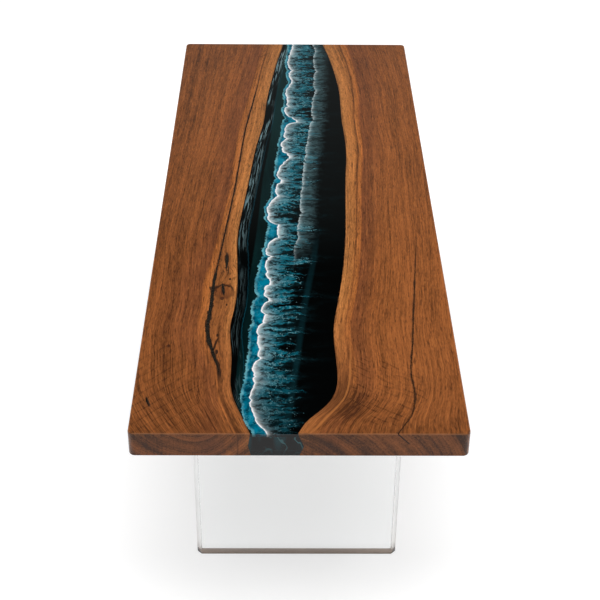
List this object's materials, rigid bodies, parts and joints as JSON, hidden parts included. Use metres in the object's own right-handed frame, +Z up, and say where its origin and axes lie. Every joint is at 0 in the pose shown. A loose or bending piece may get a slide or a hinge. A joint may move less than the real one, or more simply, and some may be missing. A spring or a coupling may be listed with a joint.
{
  "type": "dining table",
  "caption": "Rectangular river dining table: live-edge hardwood slabs joined by a dark resin pour with a surf pattern, on clear acrylic panel legs with felt feet.",
  "frame": {"origin": "on the floor, under the centre of the top", "axes": "+Y along the length of the table, away from the end that the picture looks at; +X across it to the right; +Z up"},
  "size_m": [0.8, 2.24, 0.75],
  "materials": {
    "oiled_hardwood": "satin clear finish over reddish-brown heartwood with a golden sapwood edge",
    "dark_resin": "polished black-green resin",
    "wave_resin": "polished dark resin with a blue-green and white surf pattern",
    "black_resin": "polished black crack filler",
    "clear_acrylic": "polished clear cast acrylic",
    "brown_felt": "pressed brown felt",
    "satin_aluminium": "satin anodised",
    "black_rubber": "matte black",
    "black_powder_coat": "fine black powder coat on steel",
    "brass": "plain turned brass",
    "stainless_steel": "plain stainless"
  },
  "bodies": {
    "root": {"front_leg_channel": "satin_aluminium", "front_leg_channel_inserts": "brass", "front_leg_channel_liner": "black_rubber", "front_leg_channel_screws": "stainless_steel", "front_leg_cross_bolts": "stainless_steel", "front_leg_cross_nuts": "stainless_steel", "front_leg_foot_pad": "brown_felt", "front_leg_panel": "clear_acrylic", "front_stiffener": "black_powder_coat", "front_stiffener_bolts": "stainless_steel", "front_stiffener_inserts": "brass", "left_crack_fills": "black_resin", "left_wood_slab": "oiled_hardwood", "rear_leg_channel": "satin_aluminium", "rear_leg_channel_inserts": "brass", "rear_leg_channel_liner": "black_rubber", "rear_leg_channel_screws": "stainless_steel", "rear_leg_cross_bolts": "stainless_steel", "rear_leg_cross_nuts": "stainless_steel", "rear_leg_foot_pad": "brown_felt", "rear_leg_panel": "clear_acrylic", "rear_stiffener": "black_powder_coat", "rear_stiffener_bolts": "stainless_steel", "rear_stiffener_inserts": "brass", "right_crack_fills": "black_resin", "right_wood_slab": "oiled_hardwood", "river_base_pour": "dark_resin", "river_wave_pour": "wave_resin"}
  },
  "joints": []
}
